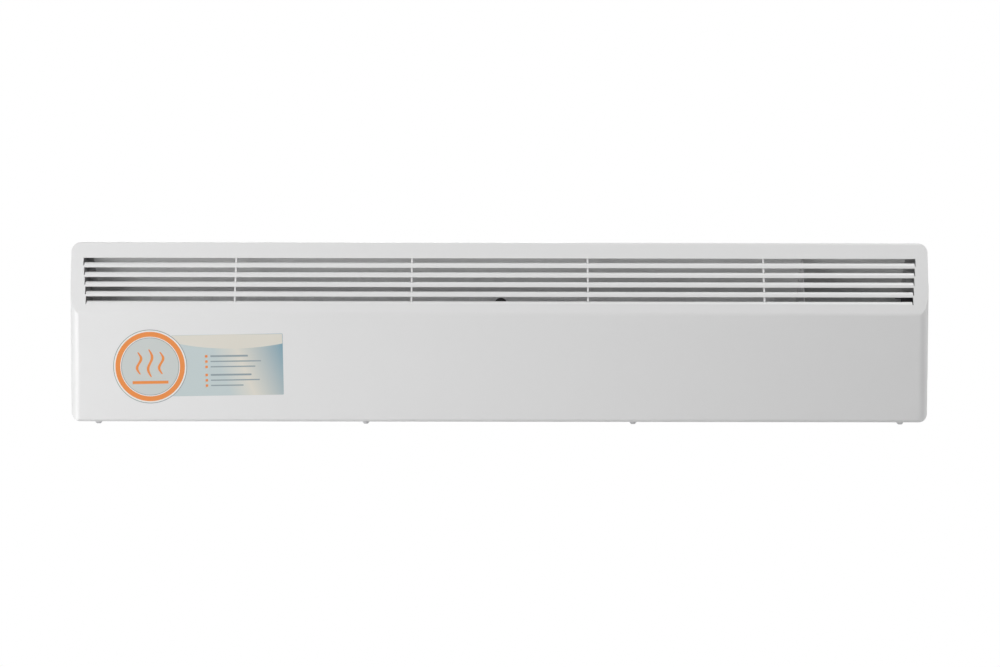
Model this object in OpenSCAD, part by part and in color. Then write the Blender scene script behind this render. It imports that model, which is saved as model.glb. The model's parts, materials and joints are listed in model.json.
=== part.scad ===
// Low wall-hung convector heater. A pressed steel casing with a louvred upper face
// hangs on a wall bracket and holds a finned aluminium element, with the controls
// in its right end wall.
// Axes: +X to the right seen from the front, -Y towards the room, +Z up.
// The origin is on the wall, in the middle of the bracket's four fixing slots.

/* [Casing] */
// Width of the front face, measured to its sharp corners
case_w = 1053; // [900:1:1400]
// Height of the casing
case_h = 220; // [214:1:300]
// Depth of the casing from its front face to its rear edge
case_d = 82; // [80:1:120]
// Space between the wall and the casing's rear edge
wall_gap = 13; // [12:0.5:20]
// Thickness of the painted casing sheet
sheet_t = 1; // [0.8:0.1:1.4]
// Height of the crease above the casing's bottom edge
crease_h = 133; // [128:1:134]
// Angle by which the upper face leans back
lean = 19; // [15:0.5:20]
// Angle by which each end wall opens out towards the wall
end_draft = 6; // [0:0.5:7]
// Radius of the upright front edges
edge_r = 13; // [8:0.5:14]
// Radius of the four corners seen from the front
corner_r = 12; // [8:0.5:14]
// Bend radius of the crease
crease_r = 12; // [4:0.5:16]
// Bend radius of the upper front edge
top_bend_r = 2.5; // [2:0.1:4]
// Bend radius of the lower front edge
foot_bend_r = 3.5; // [2:0.1:5]
// Width of the returned lip round the casing's open back
rear_lip = 11; // [10:0.5:13]
// Depth of the flange returned under the front face
foot_flange = 18; // [17:0.5:24]

/* [Grille] */
// Number of slot rows
slot_rows = 5; // [3:1:5]
// Distance from one row to the next, up the upper face
slot_pitch = 12.45; // [12:0.05:12.6]
// Height of each slot as it is cut
slot_h = 9.9; // [9.4:0.1:10.4]
// Distance from the crease to the lowest slot
slot_base = 12; // [12:0.1:14]
// Distance from the casing's front corner to the end of the top slot
slot_margin = 12.8; // [12:0.1:30]
// Amount by which each row is shorter than the one above, at each end
row_step = 1.4; // [0:0.1:3]
// Outer radius of the lip rolled inwards along the lower edge of a slot
curl_r = 5.2; // [4:0.1:8.4]
// Length of slot left open past each end of the rolled lip
curl_relief = 1.2; // [0.8:0.1:4]
// Clearance of the notches in the lips on both sides of a stay
notch_gap = 0.5; // [0.4:0.1:1.5]
// Number of stay strips behind the grille
stay_count = 4; // [2:1:5]
// Distance from the casing's front corner to the outermost stay
stay_in = 201; // [190:0.1:230]
// Width of a stay strip
stay_w = 2; // [1.5:0.1:3]
// Depth of a stay strip
stay_d = 4; // [3:0.5:6]

/* [Rear panel] */
// Thickness of the rear panel's sheet
panel_t = 1; // [0.8:0.1:1.4]
// Length of one air inlet in the panel's floor
inlet_l = 62; // [40:1:70]
// Width of one air inlet
inlet_w = 6; // [4:0.5:7]
// Number of inlets along the floor
inlet_cols = 11; // [6:1:11]
// Number of inlet rows from back to front
inlet_rows = 4; // [2:1:4]
// Width of the pressed stiffening ribs
rib_w = 12; // [8:1:16]
// Height of the pressed stiffening ribs
rib_d = 3; // [2:0.5:4]

/* [Wall bracket] */
// Thickness of the bracket's sheet
bracket_t = 1.5; // [1.2:0.1:2.5]
// Width of the bracket
bracket_w = 560; // [500:1:620]
// Height of the bracket
bracket_h = 130; // [120:1:140]
// Distance between the fixing slots from left to right
fix_x = 480; // [440:1:490]
// Distance between the fixing slots from top to bottom
fix_z = 100; // [90:1:104]
// Width of a fixing slot
fix_w = 5.5; // [4.5:0.1:6.5]
// Length of a fixing slot
fix_l = 14; // [10:0.5:18]
// Height of each hook above and below the middle
hook_z = 42; // [38:1:46]
// Rise of a hook's nose above its neck
hook_rise = 8; // [5:0.5:10]
// Height of a hook's neck
hook_neck = 7; // [5:0.5:9]
// Thickness of a hook's nose
hook_nose = 3.5; // [2.5:0.5:5]
// Distance the heater lifts to come off its hooks
lift_travel = 12; // [11:0.5:14]

/* [Element] */
// Distance from each partition to the end of the finned aluminium body
fin_gap = 47; // [40:1:80]
// Reach of each finned arm from the middle of the element
arm_l = 26; // [20:0.5:28]
// Thickness of an arm
arm_t = 2; // [1.4:0.1:3]
// Diameter of the heating rod
rod_d = 8.5; // [6.5:0.1:10]
// Height of the element's middle above the casing's bottom edge
elem_h = 60; // [52:1:70]
// Distance between the back of the casing and the air baffle
baffle_gap = 12; // [10:0.5:14]
// Reach of the baffle's top, which leans forward to turn the air out of the grille
deflect_d = 30; // [10:1:30]
// Height of that leaning top
deflect_h = 37; // [30:1:40]
// Thickness of the inner sheets
inner_t = 0.8; // [0.6:0.1:1.2]
// Distance from the casing's left front corner to the left partition
left_gap = 12; // [10:0.5:13]
// Width of the control bay, from the right front corner to the right partition
bay_w = 150.5; // [146:0.5:156]

/* [Controls] */
// Width of the control bezel
bezel_w = 48; // [46:1:50]
// Height of the control bezel
bezel_h = 124; // [120:1:130]
// Depth of the bezel's recess
recess_d = 9; // [8:0.5:11]
// Wall thickness of the mouldings
mould_t = 2; // [1.6:0.1:2.4]
// Diameter of the thermostat knob
knob_d = 34; // [28:1:36]
// Diameter of the thermostat shaft
shaft_d = 6; // [5:0.1:6.4]
// Height of the knob's axis above the middle of the bezel
knob_up = -32; // [-34:1:-31]
// Height of the switch's pivot above the middle of the bezel
switch_up = 34; // [30:1:38]
// Angle through which the rocker tips
rocker_swing = 20; // [14:1:22]
// Diameter of the indicator lens
lens_d = 6; // [4:0.5:8]

/* [Cable entry] */
// Diameter of the gland's bore
cord_bore = 8; // [6:0.1:9]
// Outer diameter of the gland's thread
gland_d = 16; // [14:0.5:18]
// Distance of the gland from the right partition
gland_in = 74; // [66:1:80]

/* [Fits] */
// Radial clearance of a shaft or pin that turns
run_fit = 0.07; // [0.03:0.01:0.1]
// Radial clearance of a piece that sits still in its hole
seat_fit = 0.05; // [0.02:0.01:0.1]
// Clearance between pieces that pass each other
pass_gap = 0.4; // [0.3:0.05:0.6]

/* [Hidden] */
$fn = 48;
over = 1;
corner_lap = 0.02;
y_back = -wall_gap;
y_front = y_back - case_d;
z_top = case_h / 2;
z_bot = -z_top;
z_crease = z_bot + crease_h;
floor_z = z_bot + sheet_t;
panel_y = y_back + panel_t;
slope_l = (z_top - z_crease) / cos(lean);
stay_pitch = (case_w - 2 * stay_in) / (stay_count - 1);
back_half = end_x(y_back);
baffle_y = y_back - baffle_gap;
elem_y = (y_front + sheet_t + baffle_y - inner_t) / 2;
elem_z = z_bot + elem_h;
left_x = left_gap - case_w / 2;
right_x = case_w / 2 - bay_w;
elem_x = (left_x + right_x) / 2;
elem_l = right_x - left_x - 2 * fin_gap;
control_y = (y_front + edge_r + y_back) / 2;

// Screws
screw_r = 2;
screw_head_r = 3.6;
foot_screw_head_r = 4.3;
foot_screw_head_h = 3;
foot_screw_in = 32.5;
foot_screw_x = [for (share = [1 / 3, 1]) share * (case_w / 2 - foot_screw_in)];
foot_screw_y = y_front + 10;
cross_w = 1;
rear_screw_in = 146.5;
rear_screw_rise = 44;
rear_screw_drop = 60;

white = [0.93, 0.93, 0.92];
steel = [0.74, 0.75, 0.76];
dark = [0.20, 0.20, 0.21];
alu = [0.82, 0.83, 0.84];
plastic = [0.88, 0.88, 0.87];

// Outer face of the right end wall at depth y
function end_x(y) = case_w / 2 + (y - y_front) * tan(end_draft);

// Half length of a slot, counted from the top row
function slot_half(row) = case_w / 2 - slot_margin - row * row_step;

// Lower edge of a slot, up the slope, counted from the top row
function slot_low(row) = slot_base + (slot_rows - 1 - row) * slot_pitch;

module rounded(w, h, r) {
    square([w - 2 * r, h], center = true);
    square([w, h - 2 * r], center = true);
    for (x = [-1, 1], y = [-1, 1])
        translate([x * (w / 2 - r), y * (h / 2 - r)]) circle(r);
}

module stadium(l, w) {
    square([l - w, w], center = true);
    for (x = [-1, 1]) translate([x * (l - w) / 2, 0]) circle(w / 2);
}

// Extrudes a side view, drawn as depth and height, from x0 along +X
module along_x(x0, l) translate([x0, 0, 0]) rotate([90, 0, 90]) linear_extrude(l) children();

// Extrudes a front view, drawn as width and height, from depth y0 into the room
module from_wall(y0, t) translate([0, y0, 0]) rotate([90, 0, 0]) linear_extrude(t) children();

// Stands on the crease: x to the right, y up the upper face, z out of it
module on_slope() translate([0, y_front, z_crease]) rotate([90 - lean, 0, 0]) children();

// Stands on the right end wall: x towards the wall, y up, z out of the end wall
module on_end_wall() translate([end_x(control_y), control_y, 0])
    rotate([0, 0, -end_draft]) rotate([90, 0, 90]) children();

// The same, for the bezel and all that it carries
module on_controls() on_end_wall() translate([0, 0, seat_fit]) children();

module both_ends() for (m = [0, 1]) mirror([m, 0, 0]) children();

// Casing

module plan_2d(inset, back) {
    r = edge_r - inset;
    cx = case_w / 2 - edge_r * tan(45 - end_draft / 2);
    cy = y_front + edge_r;
    side = [cx + r * cos(end_draft), cy - r * sin(end_draft)];
    rear = [side[0] + (back - side[1]) * tan(end_draft), back];
    polygon([[-cx, cy - r], [cx, cy - r], side, rear,
        [-rear[0], rear[1]], [-side[0], side[1]]]);
    for (x = [-cx, cx]) translate([x, cy]) circle(r);
}

module profile_2d(inset) {
    foot = [y_front + foot_bend_r, z_bot + foot_bend_r];
    brow_z = z_top - top_bend_r;
    brow_y = y_front + (top_bend_r + (brow_z - z_crease) * sin(lean)) / cos(lean);
    crease = [y_front + crease_r, z_crease - crease_r * tan(lean / 2)];
    rf = foot_bend_r - inset;
    rb = top_bend_r - inset;
    rc = crease_r - inset;
    polygon([[y_front + inset, foot[1]], [y_front + inset, crease[1]],
        [crease[0] - rc * cos(lean), crease[1] + rc * sin(lean)],
        [brow_y - rb * cos(lean), brow_z + rb * sin(lean)],
        [brow_y, z_top - inset], [y_back + over, z_top - inset],
        [y_back + over, z_bot + inset], [foot[0], z_bot + inset]]);
    translate(foot) circle(rf);
    translate([brow_y, brow_z]) circle(rb);
    translate(crease) circle(rc);
}

// The waste outside one long rounded corner, top right. The rounding stands
// out by corner_lap, so it meets both walls at a line and not at a tangent.
module end_corner(inset) {
    reach = case_d + 6 * edge_r;
    centre = corner_lap - corner_r;
    translate([case_w / 2, y_front, z_top]) rotate([0, 0, -end_draft])
        translate([centre, -2 * edge_r, centre]) difference() {
            cube([2 * corner_r, reach, 2 * corner_r]);
            translate([0, -over, 0]) rotate([-90, 0, 0])
                cylinder(r = corner_r - inset, h = reach + 2 * over);
        }
}

module casing_form(inset, back) difference() {
    intersection() {
        translate([0, 0, z_bot + inset]) linear_extrude(case_h - 2 * inset) plan_2d(inset, back);
        along_x(-back_half - over, 2 * (back_half + over)) profile_2d(inset);
    }
    both_ends() for (m = [0, 1]) mirror([0, 0, m]) end_corner(inset);
}

// Rolled lip in side view, drawn from the lower edge of its slot
module curl_2d() {
    stub = 0.3;
    translate([-over, -sheet_t]) square([over + stub, sheet_t]);
    translate([stub, -curl_r]) intersection() {
        difference() {
            circle(curl_r);
            circle(curl_r - sheet_t);
        }
        square(curl_r + over);
    }
}

module rear_screw_places() {
    z_row = z_top - 6;
    for (i = [-1, 0, 1]) translate([i * (case_w / 2 - rear_screw_in), 0, z_row]) children();
    both_ends() for (z = [z_bot + rear_screw_rise, z_top - rear_screw_drop])
        translate([back_half - 6, 0, z]) children();
}

module foot_screw_places() both_ends() for (x = foot_screw_x)
    translate([x, foot_screw_y, 0]) children();

module bezel_hole_2d() rounded(bezel_w - 6 + 2 * seat_fit, bezel_h - 6 + 2 * seat_fit, 5);

module front_cover() color(white) {
    difference() {
        casing_form(0, y_back);
        casing_form(sheet_t, y_back - sheet_t);
        from_wall(y_back + over, sheet_t + 2 * over)
            translate([0, -rear_lip / 2]) square([2 * (back_half - rear_lip),
                case_h - rear_lip], center = true);
        translate([-floor_half() + 8, y_front + foot_flange, z_bot - over])
            cube([2 * (floor_half() - 8), case_d, sheet_t + 2 * over]);
        on_slope() for (row = [0 : slot_rows - 1])
            translate([-slot_half(row), slot_low(row), -sheet_t - over])
                cube([2 * slot_half(row), slot_h, sheet_t + 2 * over]);
        on_end_wall() translate([0, 0, -sheet_t - over])
            linear_extrude(sheet_t + 2 * over) bezel_hole_2d();
        foot_screw_places() translate([0, 0, z_bot - over])
            cylinder(r = screw_r + 0.2, h = sheet_t + 2 * over);
        rear_screw_places() translate([0, y_back + over, 0]) rotate([90, 0, 0])
            cylinder(r = screw_r + seat_fit, h = sheet_t + 2 * over);
    }
    on_slope() difference() {
        for (row = [0 : slot_rows - 1]) {
            half = slot_half(row) - curl_relief;
            translate([0, slot_low(row), 0]) along_x(-half, 2 * half) curl_2d();
        }
        for (i = [0 : stay_count - 1])
            translate([stay_x(i) - stay_w / 2 - notch_gap, 0, -curl_r - over])
                cube([stay_w + 2 * notch_gap, case_h, curl_r + over - 0.8 * sheet_t]);
    }
}

// Flat bars on edge, which pass through the notches of the lips
function stay_x(i) = (i - (stay_count - 1) / 2) * stay_pitch;
stay_low = slot_base - 8;
stay_high = slot_base + (slot_rows - 1) * slot_pitch + slot_h + 6;
module grille_stays() color(white) on_slope() for (i = [0 : stay_count - 1])
    translate([stay_x(i) - stay_w / 2, stay_low, -sheet_t - seat_fit - stay_d])
        cube([stay_w, stay_high - stay_low, stay_d]);

// Rear panel

function floor_half() = case_w / 2 - corner_r - 1;
floor_front = y_front + foot_bend_r + 0.5;

module hook_slot_2d() {
    high = hook_z + 0.1;
    low = hook_z - hook_neck - lift_travel - 1;
    for (shift = [0, -2 * hook_z]) translate([bracket_w / 2 - bracket_t / 2, shift])
        translate([-bracket_t / 2 - 1.5, low]) square([bracket_t + 3, high - low]);
}

module back_outline_2d() {
    h = z_top - 2 - floor_z;
    translate([0, floor_z + h / 2]) rounded(2 * (back_half - 2), h, corner_r - 3);
}

rib_r = (rib_d * rib_d + rib_w * rib_w / 4) / (2 * rib_d);
rib_gap = 30;
rib_rise = 36;
rib_drop = 34;
module pressed_rib(inset) rotate([0, 90, 0])
    cylinder(r = rib_r - inset, h = right_x - left_x - 2 * (rib_gap + inset), center = true);

module rib_places() for (z = [z_bot + rib_rise, z_top - rib_drop])
    translate([elem_x, y_back + rib_r - rib_d, z]) children();

module inlets_2d() {
    first = y_back - 14;
    last = y_front + foot_flange + 6;
    span = right_x - left_x - 24;
    for (i = [0 : inlet_cols - 1], j = [0 : inlet_rows - 1])
        translate([elem_x + (i - (inlet_cols - 1) / 2) * span / inlet_cols,
            first + j * (last - first) / (inlet_rows - 1)]) stadium(inlet_l, inlet_w);
}

module rear_panel() color(steel) difference() {
    union() {
        from_wall(panel_y, panel_t) back_outline_2d();
        translate([-floor_half(), floor_front, floor_z])
            cube([2 * floor_half(), panel_y - floor_front, panel_t]);
        intersection() {
            rib_places() pressed_rib(0);
            translate([-case_w / 2, y_back - 2 * rib_d, z_bot])
                cube([case_w, 2 * rib_d + panel_t / 2, case_h]);
        }
    }
    rib_places() pressed_rib(panel_t);
    both_ends() from_wall(panel_y + over, panel_t + 2 * over) hook_slot_2d();
    translate([0, 0, floor_z - over]) linear_extrude(panel_t + 2 * over) inlets_2d();
    foot_screw_places() translate([0, 0, floor_z - over])
        cylinder(r = screw_r + seat_fit, h = panel_t + 2 * over);
    rear_screw_places() translate([0, panel_y + over, 0]) rotate([90, 0, 0])
        cylinder(r = screw_r + seat_fit, h = panel_t + 2 * over);
    spacer_places() translate([0, panel_y + over, 0]) rotate([90, 0, 0])
        cylinder(r = spacer_neck_r + seat_fit, h = panel_t + 2 * over);
    bracket_screw_places() translate([0, panel_y + over, 0]) rotate([90, 0, 0])
        cylinder(r = screw_r + seat_fit, h = panel_t + 2 * over);
    translate([gland_x, gland_y, floor_z - over])
        cylinder(r = gland_d / 2 + seat_fit, h = panel_t + 2 * over);
}

// Pan-headed screw with its head's seat at z = 0 and its shank downwards
module pan_screw(head_r, head_h, shank_l) {
    waist_r = head_r * 0.94;
    crown_r = head_r * 0.6;
    waist_h = head_h * 0.45;
    difference() {
        union() {
            cylinder(r1 = head_r, r2 = waist_r, h = waist_h);
            translate([0, 0, waist_h]) cylinder(r1 = waist_r, r2 = crown_r, h = head_h - waist_h);
            translate([0, 0, -shank_l]) cylinder(r = screw_r, h = shank_l + head_h / 4);
        }
        for (turn = [0, 90]) rotate(turn)
            translate([-crown_r * 0.85, -cross_w / 2, waist_h]) cube([crown_r * 1.7, cross_w, head_h]);
    }
}

module cover_screws() color(dark) foot_screw_places() translate([0, 0, z_bot])
    rotate([180, 0, 0]) pan_screw(foot_screw_head_r, foot_screw_head_h, 8);

module rear_screws() color(steel) rear_screw_places() translate([0, panel_y, 0])
    rotate([-90, 0, 0]) pan_screw(screw_head_r, 2.2, 7);

// Bumpers that keep the casing's foot off the wall
spacer_neck_r = 3;
spacer_in = 34;
spacer_rise = 22;
module spacer_places() both_ends()
    translate([case_w / 2 - spacer_in, 0, z_bot + spacer_rise]) children();

module rear_spacers() color(dark) spacer_places() translate([0, panel_y, 0])
    rotate([-90, 0, 0]) rotate_extrude() polygon([[0, -panel_t - 3], [2.2, -panel_t - 3],
        [4, -panel_t - 0.1], [spacer_neck_r, -panel_t - 0.1], [spacer_neck_r, 0], [9, 0],
        [7.5, wall_gap - panel_t - 0.3], [0, wall_gap - panel_t - 0.3]]);

// Wall bracket

module hook_2d(z) {
    nose_y = y_back - 0.5;
    polygon([[-hook_root, z - hook_neck - 3], [panel_y + 1, z - hook_neck],
        [nose_y - hook_nose, z - hook_neck], [nose_y - hook_nose, z + hook_rise - 2],
        [nose_y - hook_nose + 1.2, z + hook_rise], [nose_y, z + hook_rise],
        [nose_y, z], [-hook_root, z]]);
}

// Depth of the bracket's folded sides
hook_root = wall_gap - panel_t - 2.5;

// Sheet left round the bracket's window, at its ends and above and below it
window_side = 85;
window_rim = 30;

module wall_bracket() color(steel) {
    window_w = bracket_w - 2 * window_side;
    window_h = bracket_h - 2 * window_rim;
    from_wall(0, bracket_t) difference() {
        rounded(bracket_w, bracket_h, 1);
        rounded(window_w, window_h, 12);
        for (x = [-1, 1], z = [-1, 1])
            translate([x * fix_x / 2, z * fix_z / 2]) stadium(fix_l, fix_w);
    }
    both_ends() along_x(bracket_w / 2 - bracket_t, bracket_t) {
        translate([-hook_root, -bracket_h / 2 + 1]) square([hook_root, bracket_h - 2]);
        for (z = [-hook_z, hook_z]) hook_2d(z);
    }
}

// Air path

baffle_low = z_bot + 24;
deflect_top = z_top - 17;
bend_z = deflect_top - deflect_h;
baffle_face = baffle_y - inner_t;
fold_h = 8;

module air_baffle() color(steel) {
    x0 = elem_x - bracket_plate_x + 4;
    along_x(x0, 2 * (elem_x - x0)) {
        translate([baffle_face, baffle_low]) square([inner_t, bend_z - 1 - baffle_low]);
        translate([baffle_face, baffle_low]) square([y_back - baffle_face, inner_t]);
        translate([y_back - inner_t, baffle_low - fold_h]) square([inner_t, fold_h + inner_t]);
    }
}

// Leaning sheet above the baffle, which turns the warm air out through the grille
deflect_face = baffle_face - inner_t;
deflect_tilt = atan(deflect_d / deflect_h);
deflect_out = 22;
module deflector_2d() {
    run = inner_t / cos(deflect_tilt);
    back = deflect_face + inner_t;
    polygon([[deflect_face, bend_z - fold_h], [deflect_face, bend_z],
        [deflect_face - deflect_d, deflect_top], [y_back, deflect_top],
        [y_back, deflect_top - fold_h], [y_back - inner_t, deflect_top - fold_h],
        [y_back - inner_t, deflect_top - inner_t],
        [deflect_face - deflect_d + run + inner_t * tan(deflect_tilt), deflect_top - inner_t],
        [back, bend_z + (run - inner_t) / tan(deflect_tilt)], [back, bend_z - fold_h]]);
}

module air_deflector() color(steel)
    along_x(deflect_out - case_w / 2, case_w - 2 * deflect_out) deflector_2d();

// Least width of a partition where it ends between the grille and the deflector
partition_tip = 6;

// Side view of a partition, clear of the casing, the lips and the deflector
module partition_2d() {
    lip = curl_r + sheet_t + 1.5;
    front = y_front + sheet_t + 1.5;
    back = deflect_face - 1;
    low = floor_z + panel_t;
    room = back + bend_z * tan(deflect_tilt) - y_front - lip / cos(lean) + z_crease * tan(lean);
    high = min(deflect_top - 3, (room - partition_tip) / (tan(lean) + tan(deflect_tilt)));
    step = 8;
    polygon([[y_back, low], [front + foot_bend_r, low], [front, low + foot_bend_r],
        [front, z_crease - step / 2],
        [y_front + lip / cos(lean) + step * tan(lean), z_crease + step],
        [y_front + lip / cos(lean) + (high - z_crease) * tan(lean), high],
        [back - (high - bend_z) * tan(deflect_tilt), high], [back, bend_z],
        [back, bend_z - fold_h - 1], [y_back, bend_z - fold_h - 1]]);
}

// Flange by which a partition is fixed to the rear panel
flange_w = 12;
flange_rise = 45;
module flange_2d() translate([y_back - inner_t, z_bot + flange_rise])
    square([inner_t, bend_z - fold_h - 3 - z_bot - flange_rise]);

module left_partition() color(steel) {
    along_x(left_x, inner_t) partition_2d();
    along_x(left_x, flange_w) flange_2d();
}

wire_hole_drop = 13;
wire_hole = [elem_y + 6, z_crease - wire_hole_drop];
wire_hole_r = 7;
module right_partition() color(steel) {
    along_x(right_x - inner_t, inner_t) difference() {
        partition_2d();
        translate(wire_hole) circle(wire_hole_r);
    }
    along_x(right_x - flange_w, flange_w) flange_2d();
}

module wire_grommet() color(dark) translate([right_x - inner_t / 2, wire_hole[0], wire_hole[1]])
    rotate([0, 90, 0]) rotate_extrude() polygon([[4.5, -3], [8.6, -3],
        [8.6, -inner_t / 2 - seat_fit], [wire_hole_r - seat_fit, -inner_t / 2 - seat_fit],
        [wire_hole_r - seat_fit, inner_t / 2 + seat_fit], [8.6, inner_t / 2 + seat_fit],
        [8.6, 3], [4.5, 3]]);

// Element

core_r = rod_d / 2 + 3;
module fins_2d() difference() {
    union() {
        circle(core_r);
        for (a = [45 : 90 : 315]) rotate(a) {
            translate([0, -arm_t / 2]) square([arm_l, arm_t]);
            for (k = [0 : 3]) translate([core_r + 3 + k * (arm_l - core_r - 4) / 3, 0])
                square([1.2, 8 + 2.6 * k], center = true);
        }
    }
    circle(rod_d / 2 + seat_fit);
}

module element_body() color(alu) translate([0, elem_y, elem_z])
    along_x(elem_x - elem_l / 2, elem_l) fins_2d();

rod_l = right_x - left_x - 28;
module element_rod() color(steel) translate([elem_x, elem_y, elem_z]) rotate([0, 90, 0])
    cylinder(d = rod_d, h = rod_l, center = true);

module rod_ends() for (s = [-1, 1]) translate([elem_x + s * rod_l / 2, elem_y, elem_z])
    rotate([0, s * 90, 0]) children();

module element_insulators() color([0.92, 0.90, 0.85]) rod_ends() difference() {
    cylinder(d = rod_d - 1, h = 5);
    translate([0, 0, -over]) cylinder(r = 1.2 + seat_fit, h = 5 + 2 * over);
}

module element_terminals() color(steel) rod_ends() {
    cylinder(r = 1.2, h = 6.5);
    translate([-3.15, -0.4, 5.1]) cube([6.3, 0.8, 6.5]);
}

bush_r = 8;
bracket_in = 12;
eye_r = bush_r + 6;
foot_rise = 34;
foot_over = 8;
foot_w = 14;
foot_fold = 10;
bracket_foot_z = elem_z + foot_rise;
foot_h = foot_rise + foot_over + eye_r;
foot_screw_off = (foot_fold + inner_t) / 2;
module rod_bracket_2d() difference() {
    union() {
        translate([elem_y, elem_z]) circle(eye_r);
        translate([elem_y, elem_z - eye_r]) square([y_back - elem_y, 2 * eye_r]);
        translate([y_back - foot_w, elem_z - eye_r]) square([foot_w, foot_h]);
    }
    translate([elem_y, elem_z]) circle(bush_r);
}

bracket_plate_x = rod_l / 2 - bracket_in;
module element_brackets() color(steel) for (s = [-1, 1])
    translate([elem_x + s * bracket_plate_x, 0, 0]) {
        along_x(-inner_t / 2, inner_t) rod_bracket_2d();
        difference() {
            along_x(-inner_t / 2 - (s > 0 ? 0 : foot_fold), foot_fold + inner_t)
                translate([y_back - inner_t, elem_z - eye_r]) square([inner_t, foot_h]);
            translate([s * foot_screw_off, y_back + over, bracket_foot_z]) rotate([90, 0, 0])
                cylinder(r = screw_r + seat_fit, h = inner_t + 2 * over);
        }
    }

module bracket_screw_places() for (s = [-1, 1])
    translate([elem_x + s * (bracket_plate_x + foot_screw_off), 0, bracket_foot_z]) children();

module bracket_screws() color(steel) bracket_screw_places() translate([0, panel_y, 0])
    rotate([-90, 0, 0]) pan_screw(screw_head_r, 2.2, 7);

module element_bushes() color([0.75, 0.30, 0.22]) for (s = [-1, 1])
    translate([elem_x + s * bracket_plate_x, elem_y, elem_z]) rotate([0, 90, 0]) rotate_extrude()
        polygon([[rod_d / 2 + seat_fit, -4], [bush_r + 2, -4],
            [bush_r + 2, -inner_t / 2 - seat_fit], [bush_r - seat_fit, -inner_t / 2 - seat_fit],
            [bush_r - seat_fit, inner_t / 2 + seat_fit], [bush_r + 2, inner_t / 2 + seat_fit],
            [bush_r + 2, 4], [rod_d / 2 + seat_fit, 4]]);

// Overheat cut-out, just behind the lowest slot
cutout_x = 1.4;
cutout_r = 8;
cutout_rise = 18.2;
cutout_z = z_crease + cutout_rise - cutout_r;
cutout_y = baffle_y - inner_t - 22;
module cutout_bracket() color(steel) translate([cutout_x, 0, 0]) difference() {
    along_x(-7, 14) {
        translate([baffle_y - inner_t - 1, cutout_z - 30]) square([1, 18]);
        translate([cutout_y, cutout_z - 13]) square([baffle_y - inner_t - cutout_y, 1]);
        translate([cutout_y, cutout_z - 13]) square([1, 22]);
    }
    translate([0, cutout_y - over, cutout_z]) rotate([-90, 0, 0])
        cylinder(r = cutout_r - 3, h = 1 + 2 * over);
}

module thermal_cutout() color([0.08, 0.08, 0.09]) translate([cutout_x, cutout_y, cutout_z])
    rotate([90, 0, 0]) {
        cylinder(r = cutout_r, h = 8);
        translate([0, 0, -0.8]) cylinder(r = cutout_r - 3 - seat_fit, h = 2);
        for (x = [-4.6, 4.6]) translate([x - 0.4, -3.15, 7]) cube([0.8, 6.3, 8]);
    }

// Controls in the end wall

module control_bezel() color(plastic) on_controls() difference() {
    union() {
        linear_extrude(1.5) rounded(bezel_w, bezel_h, 7);
        translate([0, 0, -recess_d - mould_t]) linear_extrude(recess_d + mould_t + 0.5)
            rounded(bezel_w - 6, bezel_h - 6, 5);
        both_ends() for (y = [-30, 30]) translate([bezel_w / 2 - 3, y, -sheet_t - 0.2])
            rotate([90, 0, 0]) linear_extrude(10, center = true)
                polygon([[-1, 0], [1.1, 0], [0, -3], [-1, -3]]);
    }
    translate([0, 0, -recess_d]) linear_extrude(recess_d + 2 * over)
        rounded(bezel_w - 6 - 2 * mould_t, bezel_h - 6 - 2 * mould_t, 3.5);
    translate([0, knob_up, -recess_d - mould_t - over])
        cylinder(r = shaft_d / 2 + 0.6, h = mould_t + 2 * over);
    for (x = [-1, 1]) translate([x * 10, knob_up, -recess_d - mould_t - over]) {
        cylinder(r = 1.5, h = mould_t + 2 * over);
        translate([0, 0, mould_t + over - 1.5]) cylinder(r1 = 1.5, r2 = 3 + over, h = 1.5 + over);
    }
    translate([0, switch_up, -recess_d - mould_t - over]) linear_extrude(mould_t + 2 * over)
        square([switch_w + 2 * seat_fit, switch_h + 2 * seat_fit], center = true);
    translate([0, lens_up, -recess_d - mould_t - over])
        cylinder(r = lens_d / 2 + seat_fit, h = mould_t + 2 * over);
}

lens_up = 6;
rocker_l = 20.8;
rocker_w = 15;
pivot_in = -recess_d - 2;
pin_r = 1.2;
switch_w = 18.5;
switch_h = 24.5;
switch_l = 20;
blade_t = 0.8;
blade_l = 8;
stat_w = 30;
stat_h = 36;
stat_l = 20;
neck_off = 9;
neck_l = 4;

module switch_housing() color(dark) on_controls() translate([0, switch_up, 0]) {
    difference() {
        union() {
            translate([0, 0, -recess_d]) linear_extrude(1.5)
                square([switch_w + 3.5, switch_h + 4], center = true);
            translate([0, 0, -recess_d - switch_l]) linear_extrude(switch_l + 0.5)
                square([switch_w, switch_h], center = true);
        }
        translate([0, 0, pivot_in - 9]) linear_extrude(switch_l)
            square([rocker_w + 2 * pass_gap, rocker_l + 4 * pass_gap], center = true);
        translate([0, 0, pivot_in]) rotate([0, 90, 0])
            cylinder(r = pin_r + run_fit, h = rocker_w + 2.6, center = true);
    }
    for (y = [-7, 0, 7]) translate([-2.4, y - blade_t / 2, -recess_d - switch_l - blade_l])
        cube([4.8, blade_t, blade_l + 0.5]);
}

module switch_rocker() color([0.10, 0.10, 0.11]) on_controls()
    translate([0, switch_up, pivot_in]) rotate([rocker_swing / 2, 0, 0]) {
        half = rocker_l / 2;
        rotate([90, 0, 90]) translate([0, 0, -rocker_w / 2]) linear_extrude(rocker_w)
            polygon([[-half, 3.2], [0, 5], [half, 3.2], [half - 0.8, -1.5], [0, -4],
                [-half + 0.8, -1.5]]);
        rotate([0, 90, 0]) cylinder(r = pin_r, h = rocker_w + 2.2, center = true);
    }

module indicator_lens() color([0.95, 0.45, 0.15]) on_controls()
    translate([0, lens_up, -recess_d - mould_t - 4]) {
        cylinder(d = lens_d, h = mould_t + 4.6);
        translate([0, 0, mould_t + 4.6]) cylinder(d1 = lens_d, d2 = lens_d - 2, h = 1);
    }

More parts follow.
